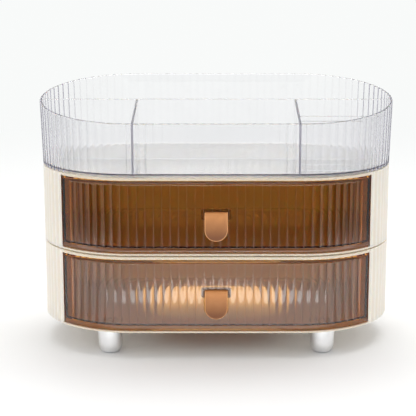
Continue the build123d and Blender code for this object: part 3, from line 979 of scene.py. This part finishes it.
class ORGANIZER_OT_pulls(bpy.types.Operator):
    """Make both leather pulls and the anchors inside the drawers"""

    bl_idname = "organizer.pulls"
    bl_label = "Leather pulls"

    def execute(self, context):
        s, c = sizes(), colours()
        tan = leather_finish("tan leather", c.tan, c.tan_dark, c.edge_paint, c.tan_painted_shade)
        brown = leather_finish("brown leather", c.brown, c.brown_dark)
        head_front = -(s.depth / 2 - s.drawer_recess - s.drawer_front) + HAIR
        tuck = 0.3 * MM  # how far the strap runs into the anchor
        for tier in TIERS:
            low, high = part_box(f"{tier}_pull_tongue")
            joint = next(j for j in frame["joints"] if j["name"] == f"{tier}_pull_swing")
            fold = joint["pos_m"][2]
            points, faces, values = strap(low, high, fold, head_front + tuck)
            band = add_piece(f"{tier}_leather_pull", points, faces, tan, None,
                             [f"{tier}_pull_tongue"], sharp=40.0, values=values)
            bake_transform(band)
            anchor_low, anchor_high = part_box(f"{tier}_pull_anchor")
            head_low = Vector((anchor_low.x, head_front, anchor_low.z))
            points, faces = cushion_block(head_low, anchor_high, power=0.22)
            add_piece(f"{tier}_leather_anchor", points, faces, brown, f"{tier}_drawer",
                      [f"{tier}_pull_anchor"])
        return {"FINISHED"}


class ORGANIZER_OT_feet(bpy.types.Operator):
    """Turn the four plated feet and dress the screws"""

    bl_idname = "organizer.feet"
    bl_label = "Feet and screws"

    def execute(self, context):
        c = colours()
        silver = metal_finish("silver plate", c.silver, c.silver_dull, rough=0.285, smear=60.0)
        steel = metal_finish("screw steel", c.steel, c.steel_dull, rough=0.3, smear=300.0)
        for name in FEET:
            points, faces = foot_turn(*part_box(f"{name}_foot"))
            add_piece(f"{name}_turned_foot", points, faces, silver, "lower_cabinet",
                      [f"{name}_foot"])
        for node in SCREWS:
            dress_node(node, steel)
        return {"FINISHED"}


# Stage, in metres, watts and radians

# Camera, fitted to the outline of the object; its lens is in millimetres
CAMERA_PLACE = (0.0, -1.1589, 0.3629)
CAMERA_TILT = 0.214
CAMERA_LENS = 116.9
CAMERA_SHIFT = (-0.0197, 0.0026)
CAMERA_REACH = 50.0
# Lamps: place, extent and power
LAMPS = {"Top lamp": ((0.1, 0.3, 1.7), (1.6, 1.2), 16.0),
         "Front lamp": ((-0.3, -1.3, 0.75), (1.0, 0.7), 2.8)}
LAMP_AIM = Vector((0.0, 0.0, 0.1))
# Bright cards that lie before the drawers and show only where the plastic mirrors them
CARDS = {"Wide card": ((0.0, -0.23, 0.001), (1.0, 0.2), 0.44),
         "Near card": ((0.0, -0.195, 0.002), (1.0, 0.13), 0.33),
         "Bright card": ((0.0, -0.254, 0.003), (0.25, 0.045), 0.135)}
# Bounces of light, enough for the many see-through sheets that stand one behind another
CLEAR_BOUNCES = 40
DIFFUSE_BOUNCES = 6
# Floor: half its width, its grid lines, its dark tone, then the zones of its glow, each from its start to
# where it is full
FLOOR_REACH = 4.0
FLOOR_LINES = 9
FLOOR_DARK = (0.02, 0.02, 0.02)
FADE_AWAY = (0.3, 1.2)  # distance at which the floor turns into the backdrop
WHITE_BEFORE = (-0.1, -0.16)  # Y of the mirrored white close before the drawers
DARK_AHEAD = (-0.37, -0.47)  # Y of the mirrored darkness further out
DARK_ASIDE = (0.9, 0.5)  # distance from the middle plane within which that darkness lies
SIDE_TURN = (0.75, 0.95)  # share of X in the direction towards the darker floor at both sides
SIDE_AWAY = (0.35, 0.6)  # distance at which that floor gets darker
SIDE_MIRRORED = 0.7  # how dark it is where it is mirrored
SIDE_THROUGH = 0.25  # how dark it is seen through the plastic
# Room light by the Y of its direction: from, to, and the light at both
ROOM_FRONT = (-0.85, -0.25, 0.3, 1.05)
ROOM_REAR = (0.2, 0.8, 1.0, 0.65)
# Where mirrored and refracted directions meet the white backdrop: by Y and by Z
PALE_BACK = (0.0, 0.4)
PALE_OVER = (0.3, 0.6)
# Tone of the room's sides where it is mirrored, and where it is seen through the plastic
FLANK_MIRRORED = (0.36, 0.36, 0.45)
FLANK_THROUGH = (0.62, 0.62, 0.68)


class ORGANIZER_OT_stage(bpy.types.Operator):
    """Set up the pale floor, the soft light, the backdrop and the camera"""

    bl_idname = "organizer.stage"
    bl_label = "Stage"

    def execute(self, context):
        scene = context.scene
        self.make_floor(scene)
        self.make_world(scene)
        for name, lamp in LAMPS.items():
            self.make_lamp(scene, name, *lamp)
        for name, lamp in CARDS.items():
            card = self.make_lamp(scene, name, *lamp)
            card.rotation_euler = (math.pi, 0.0, 0.0)
            card.visible_camera = card.visible_diffuse = card.visible_transmission = False
        scene.cycles.max_bounces = CLEAR_BOUNCES
        scene.cycles.transmission_bounces = CLEAR_BOUNCES
        scene.cycles.glossy_bounces = CLEAR_BOUNCES
        scene.cycles.diffuse_bounces = DIFFUSE_BOUNCES
        self.make_camera(scene)
        scene.view_settings.view_transform = "Standard"
        return {"FINISHED"}

    def make_camera(self, scene):
        """Camera before the object, tilted down."""
        camera = bpy.data.objects.new("Camera", bpy.data.cameras.new("Camera"))
        camera.data.lens = CAMERA_LENS
        camera.data.shift_x, camera.data.shift_y = CAMERA_SHIFT
        camera.data.clip_end = CAMERA_REACH
        camera.location = CAMERA_PLACE
        camera.rotation_euler = (math.pi / 2 - CAMERA_TILT, 0.0, 0.0)
        scene.collection.objects.link(camera)
        scene.camera = camera

    def make_floor(self, scene):
        """Flat floor as a grid of points. Far from the object it turns into the white backdrop. Mirrored in
        the plastic, it is white close before the drawers and dark further out and at both sides."""
        side = np.linspace(-FLOOR_REACH, FLOOR_REACH, FLOOR_LINES)
        x, y = np.meshgrid(side, side)
        points = np.stack((x, y, np.zeros_like(x)), axis=-1).reshape(-1, 3)
        mesh = bpy.data.meshes.new("Floor")
        mesh.from_pydata(points.tolist(), [], grid_faces(FLOOR_LINES, FLOOR_LINES).tolist())
        floor = bpy.data.objects.new("Floor", mesh)
        scene.collection.objects.link(floor)
        finish, tree, shader = blank_finish("pale floor")
        set_inputs(tree, shader, {"Base Color": (*colours().floor, 1.0), "Roughness": 0.6,
                                  "Specular IOR Level": 0.2})
        mesh.materials.append(finish)

        path = add(tree, "LightPath").outputs
        through, glossy = path["Is Transmission Ray"], path["Is Glossy Ray"]
        mirrored = worked(tree, "SUBTRACT", glossy, through, clamp=True)
        seen = combined(tree, "MAXIMUM", path["Is Camera Ray"], through, glossy)

        place = add(tree, "TexCoord").outputs["Object"]
        parts = add(tree, "SeparateXYZ", {0: place}).outputs
        away = add(tree, "VectorMath", {0: place}, operation="LENGTH").outputs["Value"]
        line = add(tree, "VectorMath", {0: place}, operation="NORMALIZE").outputs[0]
        turn = worked(tree, "ABSOLUTE", add(tree, "SeparateXYZ", {0: line}).outputs["X"])

        aside = ranged(tree, worked(tree, "ABSOLUTE", parts["X"]), *DARK_ASIDE)
        ahead = combined(tree, "MULTIPLY", ranged(tree, parts["Y"], *DARK_AHEAD), aside, mirrored)
        share = worked(tree, "MULTIPLY", through, SIDE_THROUGH)
        share = worked(tree, "MULTIPLY_ADD", mirrored, SIDE_MIRRORED, share)
        sides = combined(tree, "MULTIPLY", ranged(tree, turn, *SIDE_TURN), ranged(tree, away, *SIDE_AWAY),
                         share)
        dark = worked(tree, "MAXIMUM", ahead, sides)

        fade = worked(tree, "MULTIPLY", seen, ranged(tree, away, *FADE_AWAY))
        before = worked(tree, "MULTIPLY", ranged(tree, parts["Y"], *WHITE_BEFORE), glossy)
        amount = combined(tree, "MAXIMUM", fade, before, dark)
        tone = mixed(tree, colours().backdrop, FLOOR_DARK, dark)
        glow = add(tree, "Emission", {"Color": tone, "Strength": 1.0})
        both = add(tree, "MixShader", {0: amount, 1: shader.outputs[0], 2: glow.outputs[0]})
        tree.links.new(both.outputs[0], tree.nodes["Material Output"].inputs["Surface"])

    def make_world(self, scene):
        """Soft room light, weaker from the front and the rear; white where the background itself is seen."""
        world = bpy.data.worlds.new("Studio")
        scene.world = world
        world.use_nodes = True
        tree = world.node_tree
        way = add(tree, "TexCoord").outputs["Generated"]
        parts = add(tree, "SeparateXYZ", {0: way}).outputs
        path = add(tree, "LightPath").outputs
        through = path["Is Transmission Ray"]
        light = worked(tree, "MULTIPLY", ranged(tree, parts["Y"], *ROOM_FRONT),
                       ranged(tree, parts["Y"], *ROOM_REAR))
        room = add(tree, "CombineColor", {0: light, 1: light, 2: light}).outputs[0]
        back = between(tree, parts["Y"], worked(tree, "ABSOLUTE", parts["Y"]), through)
        pale = combined(tree, "MAXIMUM", ranged(tree, back, *PALE_BACK), ranged(tree, parts["Z"], *PALE_OVER),
                        path["Is Camera Ray"])
        seen = combined(tree, "MAXIMUM", through, path["Is Glossy Ray"], path["Is Camera Ray"])
        view = mixed(tree, mixed(tree, FLANK_MIRRORED, FLANK_THROUGH, through), colours().backdrop, pale)
        set_inputs(tree, tree.nodes["Background"], {"Color": mixed(tree, room, view, seen), "Strength": 1.0})

    def make_lamp(self, scene, name, place, extent, power):
        """Area lamp at a place, turned towards the object's middle."""
        lamp = bpy.data.lights.new(name, "AREA")
        lamp.shape = "RECTANGLE"
        lamp.size, lamp.size_y = extent
        lamp.energy = power
        holder = bpy.data.objects.new(name, lamp)
        holder.location = place
        holder.rotation_euler = (LAMP_AIM - Vector(place)).to_track_quat("-Z", "Y").to_euler()
        scene.collection.objects.link(holder)
        return holder


PIECE_OPERATORS = (ORGANIZER_OT_cabinets, ORGANIZER_OT_drawers, ORGANIZER_OT_tray, ORGANIZER_OT_dividers,
                   ORGANIZER_OT_pulls, ORGANIZER_OT_feet, ORGANIZER_OT_stage)


class ORGANIZER_PT_panel(bpy.types.Panel):
    """Sidebar panel with the organizer's steps"""

    bl_idname = "ORGANIZER_PT_panel"
    bl_label = "Organizer"
    bl_space_type = "VIEW_3D"
    bl_region_type = "UI"
    bl_category = "Organizer"

    def draw(self, context):
        for operator in PIECE_OPERATORS:
            self.layout.operator(operator.bl_idname)


CLASSES = (OrganizerSizes, OrganizerColours, *PIECE_OPERATORS, ORGANIZER_PT_panel)


def register():
    """Register the classes and give the scene its sizes and colours."""
    for kind in CLASSES:
        bpy.utils.register_class(kind)
    bpy.types.Scene.organizer_sizes = PointerProperty(type=OrganizerSizes)
    bpy.types.Scene.organizer_colours = PointerProperty(type=OrganizerColours)


def unregister():
    """Take back what register did, in reverse order."""
    del bpy.types.Scene.organizer_colours
    del bpy.types.Scene.organizer_sizes
    for kind in reversed(CLASSES):
        bpy.utils.unregister_class(kind)


def main():
    """Dress the organizer and set the stage."""
    register()
    for operator in PIECE_OPERATORS:
        area, name = operator.bl_idname.split(".")
        getattr(getattr(bpy.ops, area), name)()
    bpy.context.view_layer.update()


if __name__ == "__main__":
    main()
